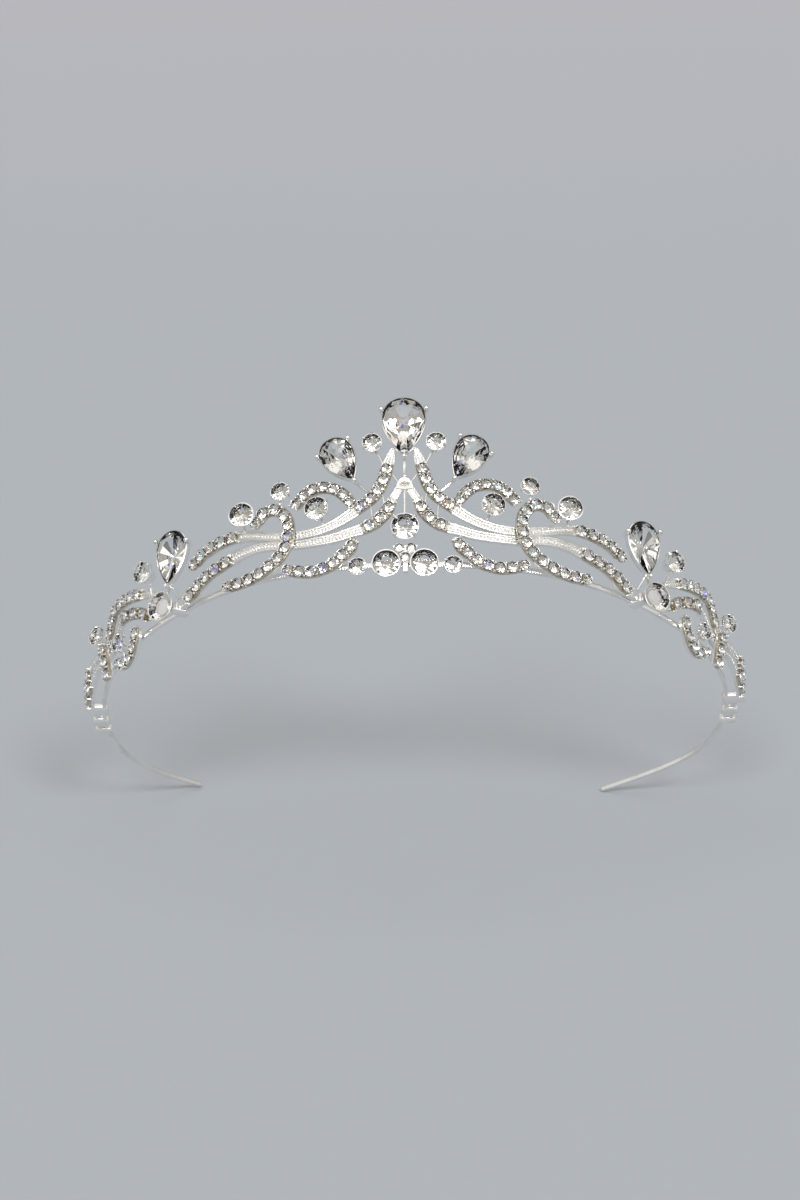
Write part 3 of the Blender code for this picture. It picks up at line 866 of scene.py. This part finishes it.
# =====================================================================
# Centre mount and drop plate.  A cast peak pierced with a diamond, with
# a collared post up to the pear and a hanger down to the centre stone;
# below that stone, a small plate of three crystals ends in a tongue.
# =====================================================================
CAP = [(0, 20.4), (0.9, 19.9), (1.6, 18.8), (1.9, 17.6), (0, 17.3), (-1.9, 17.6),
       (-1.6, 18.8), (-0.9, 19.9)]
PIERCING = [(0, 19.15), (0.7, 19.1), (0.95, 18.8), (0.7, 18.4), (0, 18.35), (-0.7, 18.4),
            (-0.95, 18.8), (-0.7, 19.1)]
ARM = [(0.95, 18.4, 1.4), (1.6, 16.9, 1.6), (2.7, 15.0, 1.9)]
STRUTS = [((4.9, 18.4), (4.0, 13.2)), ((7.2, 15.0), (6.6, 10.2)), ((2.5, 21.0), (1.3, 19.2))]
STRUT_WIRE = 0.22
WIRE_LEVEL = 1.5
HANGER = (17.6, 11.4)
HANGER_WIRE = 0.36
POST = [
    # h, outward, radius
    (19.6, 1.5, 0.75), (20.6, 1.6, 0.55), (21.2, 1.6, 0.38), (24.2, 1.8, 0.36),
    (24.9, 2.0, 0.6),
]
COLLAR = (20.6, 1.6, 0.60)
PIERCING_BACK = 18.75   # the height that the piercing's dark backing, a sheet of painted shade, shrinks towards
DROP_HALF = [(2.6, 4.4), (2.2, 3.1), (0.75, 1.9), (0.5, 1.2), (0.45, -1.6)]
DROP_STONES = ((-1.25, 3.6), (1.25, 3.6), (0, 1.5))
DROP_STONE = 1.12
DROP_CUP = 1.1
DROP_LEAN = 4


def centre_mount():
    """The pierced peak, its two arms, the struts, the hanger and the collared post."""
    metal = Shape()
    rings = []
    for far, near in zip(CAP, PIERCING):
        soft = [far[k] * 0.9 + near[k] * 0.1 for k in (0, 1)]
        brim = [far[k] * 0.2 + near[k] * 0.8 for k in (0, 1)]
        rings.append([place(*far, CAST_BACK), place(*far, CAST_FRONT),
                      place(*soft, CAST_FRONT + 0.2), place(*brim, CAST_FRONT + 0.15),
                      place(*near, CAST_FRONT), place(*near, CAST_BACK)])
    metal.sweep(rings, closed=True)
    # a dark sheet behind the piercing in the darkened plate: painted shade
    metal.sweep([[place(s * 0.9, PIERCING_BACK + (h - PIERCING_BACK) * 0.9, o)
                  for s, h in PIERCING] for o in (CAST_BACK + 0.3, CAST_BACK + 0.5)], 1)
    length, sample = spline(ARM)
    for side, _ in SIDES:
        channel(metal, sample, length, side, CAST_BACK, CAST_FRONT)
        for strut in STRUTS:
            metal.wire([place(side * s, h, WIRE_LEVEL) for s, h in strut], STRUT_WIRE * MM)
    metal.wire([place(0, h, WIRE_LEVEL) for h in HANGER], HANGER_WIRE * MM)
    metal.wire([place(0, h, o) for h, o, _ in POST], [radius * MM for _, _, radius in POST])
    metal.ball(place(0, *COLLAR[:2]), COLLAR[2] * MM, 10)
    metal.piece("peak_casting", cast_looks, "silver", replaces=["centre_mount"])


def drop_plate():
    """The small plate under the centre stone, with its tongue and three crystals."""
    metal, stones = Shape(), Shape()
    outline = DROP_HALF + [(-s, h) for s, h in reversed(DROP_HALF)]
    metal.sweep([[place(s, h, o) for s, h in outline] for o in (CAST_BACK, CAST_FRONT)])
    for s, h in DROP_STONES:
        middle, along, up, out = axes(s, h, CAST_FRONT + 0.4)
        spin = chance.uniform(0, SPIN)
        set_stone(stones, ROUND_CUT, middle, along, up, out, DROP_STONE, spin, DROP_LEAN)
        cup(metal, middle, along, up, out, DROP_CUP, 1.0)
    metal.piece("drop_casting", cast_looks, "silver", replaces=["drop_plate"])
    stones.piece("drop_stones", crystal, "crystal", sharp=None)


centre_mount()
drop_plate()

# =====================================================================
# Crimps.  Sheet-metal sleeves folded round the band and the casting
# beside it, pressed to barrels and closed with solder.  Each side has
# one at the junction and three at the back.
# =====================================================================
CRIMPS = [
    # name, s, length, how far its ends are pressed in
    ("crimp_junction", 54.6, 2.4, 0.35),
    ("crimp_front", 107.8, 3.4, 1.15),
    ("crimp_middle", 113.8, 3.2, 1.15),
    ("crimp_rear", 118.2, 2.4, 1.0),
]
CRIMP_WALL = 0.35
CRIMP_SLACK = 0.3
CRIMP_CORNER = 0.55
CRIMP_ROWS = 12
folded_plate = plate("folded_plate", smooth=0.32, grain=0.0012, depth=0.00001)


def box_outline(inner, outer, low, high, corner):
    """An oblong with round corners, as (outward, up) points."""
    points = []
    centres = ((outer - corner, high - corner, 0), (inner + corner, high - corner, 90),
               (inner + corner, low + corner, 180), (outer - corner, low + corner, 270))
    for x, y, start in centres:
        for k in range(5):
            turn = math.radians(start + 22.5 * k)
            points.append((x + corner * math.cos(turn), y + corner * math.sin(turn)))
    return points


def crimp(side, s, length, press):
    """One crimp: rings of its section, pulled in towards both ends."""
    metal = Shape()
    outer = CAST_FRONT + stand_off(s - length / 2) + GAP + CRIMP_SLACK + CRIMP_WALL
    inner = -BAND_THICK / 2 - GAP - CRIMP_WALL
    low, high = -GAP - CRIMP_WALL, BAND_TALL + GAP + CRIMP_WALL
    rings = []
    for i in range(CRIMP_ROWS + 1):
        turn = math.pi * (i / CRIMP_ROWS - 0.5)
        end = 0.5 * math.sin(turn)
        pulled = press * (1 - math.cos(turn))
        corner = min(CRIMP_CORNER, (high - low) / 2 - pulled - 0.05)
        rings.append([plain(side * (s + end * length), h, o) for o, h in
                      box_outline(inner + pulled, outer - pulled, low + pulled,
                                  high - pulled, corner)])
    metal.sweep(rings)
    return metal


for name, *sizes in CRIMPS:
    for side, word in SIDES:
        crimp(side, *sizes).piece(f"{name}_sleeve_{word}", [folded_plate], "silver",
                                  replaces=[f"{name}_{word}"])

# =====================================================================
# The studio.  A pale paper floor, two soft lights from the front, and
# a pale room with broad bright panels that is dimmer round the camera.
# =====================================================================
FLOOR_SIZE = 40.0
LIGHT_HEIGHT = 34       # degrees up
PANELS = [
    # strength, degrees round from the front, degrees up, where it fades from and to
    (1.2, -50, 38, 12, 18), (1.2, 46, 34, 12, 18), (0.8, 0, 75, 20, 30), (1.4, 4, 46, 7, 12),
    (0.4, -95, 15, 14, 30), (0.4, 95, 15, 14, 30),
]
LENS = 103.5
SENSOR = 36
UNDER_BAND = 28         # degrees that the camera looks up from under the band's plane
TO_THE_SIDE = 1.75
ROLL = 0.3
CAMERA_AT = (-3.4, -800, 24)


def floor():
    half, low = FLOOR_SIZE / 2, cad_box[0][2]
    corners = [(-half, -half, low), (half, -half, low), (half, half, low), (-half, half, low)]
    look = Look("pale_paper", Roughness=0.85, Specular_IOR_Level=0.2)
    where = look.node("ShaderNodeSeparateXYZ", {},
                      {0: look.node("ShaderNodeTexCoord", output="Object")}, "Y")
    paper = look.mix(look.noise(0.5), (0.435, 0.466, 0.498), (0.45, 0.478, 0.508))
    # painted light: the paper is painted lighter and pinker further back, from 0.6 m to 1.7 m
    look.set(Base_Color=look.mix(look.range(where, 0.6, 1.7), paper, (0.485, 0.482, 0.525)))
    look.bump(look.noise(0.0012, 3.0), 0.00004)
    mesh = bpy.data.meshes.new("floor")
    mesh.from_pydata(corners, [], [(0, 1, 2, 3)])
    mesh.materials.append(look.material)
    obj = bpy.data.objects.new("floor", mesh)
    bpy.context.collection.objects.link(obj)


def towards(azimuth, elevation):
    """A direction, in degrees round from the front and degrees up."""
    a, e = math.radians(azimuth), math.radians(elevation)
    return Vector((math.sin(a) * math.cos(e), -math.cos(a) * math.cos(e), math.sin(e)))


def sun(name, azimuth, elevation, strength, width):
    light = bpy.data.lights.new(name, 'SUN')
    light.energy = strength
    light.angle = math.radians(width)
    obj = bpy.data.objects.new(name, light)
    obj.rotation_euler = towards(azimuth, elevation).to_track_quat('Z', 'Y').to_euler()
    bpy.context.collection.objects.link(obj)


def room():
    """A soft pale dome, dim round the camera, with broad bright panels above."""
    world = bpy.data.worlds.new("room")
    bpy.context.scene.world = world
    room = Nodes(world, "Background", Strength=0.76)
    way = room.node("ShaderNodeTexCoord", output=0)

    def patch(azimuth, elevation, inner, outer):
        near = room.node("ShaderNodeVectorMath", {"operation": 'DOT_PRODUCT'},
                         {0: way, 1: towards(azimuth, elevation)}, 1)
        return room.range(near, math.cos(math.radians(outer)), math.cos(math.radians(inner)),
                          soft=True)

    light = 0.56 - 0.32 * patch(0, 14, 7, 20)
    for strength, *spot in PANELS:
        light = light + strength * patch(*spot)
    room.set(Color=room.node("ShaderNodeCombineColor", {}, {0: light, 1: light * 0.99,
                                                            2: light * 0.975}))


def camera():
    """Square to the band's front but under its plane, and a touch to one side."""
    data = bpy.data.cameras.new("camera")
    data.sensor_width = SENSOR
    data.lens = LENS
    data.clip_start = 0.01
    data.clip_end = 50
    obj = bpy.data.objects.new("camera", data)
    turn = Matrix.Rotation(-TILT, 4, 'X')
    for degrees, axis in ((TO_THE_SIDE, 'Z'), (UNDER_BAND, 'X'), (ROLL, 'Y')):
        turn = turn @ Matrix.Rotation(math.radians(degrees), 4, axis)
    where = turn @ Vector(CAMERA_AT) * MM
    obj.matrix_world = Matrix.Translation(where) @ turn @ Matrix.Rotation(math.pi / 2, 4, 'X')
    bpy.context.collection.objects.link(obj)
    bpy.context.scene.camera = obj


floor()
sun("key_light", 19, LIGHT_HEIGHT, strength=1.05, width=11)
sun("fill_light", -8, LIGHT_HEIGHT, strength=0.85, width=12)
room()
camera()
bpy.context.scene.view_settings.view_transform = 'Standard'
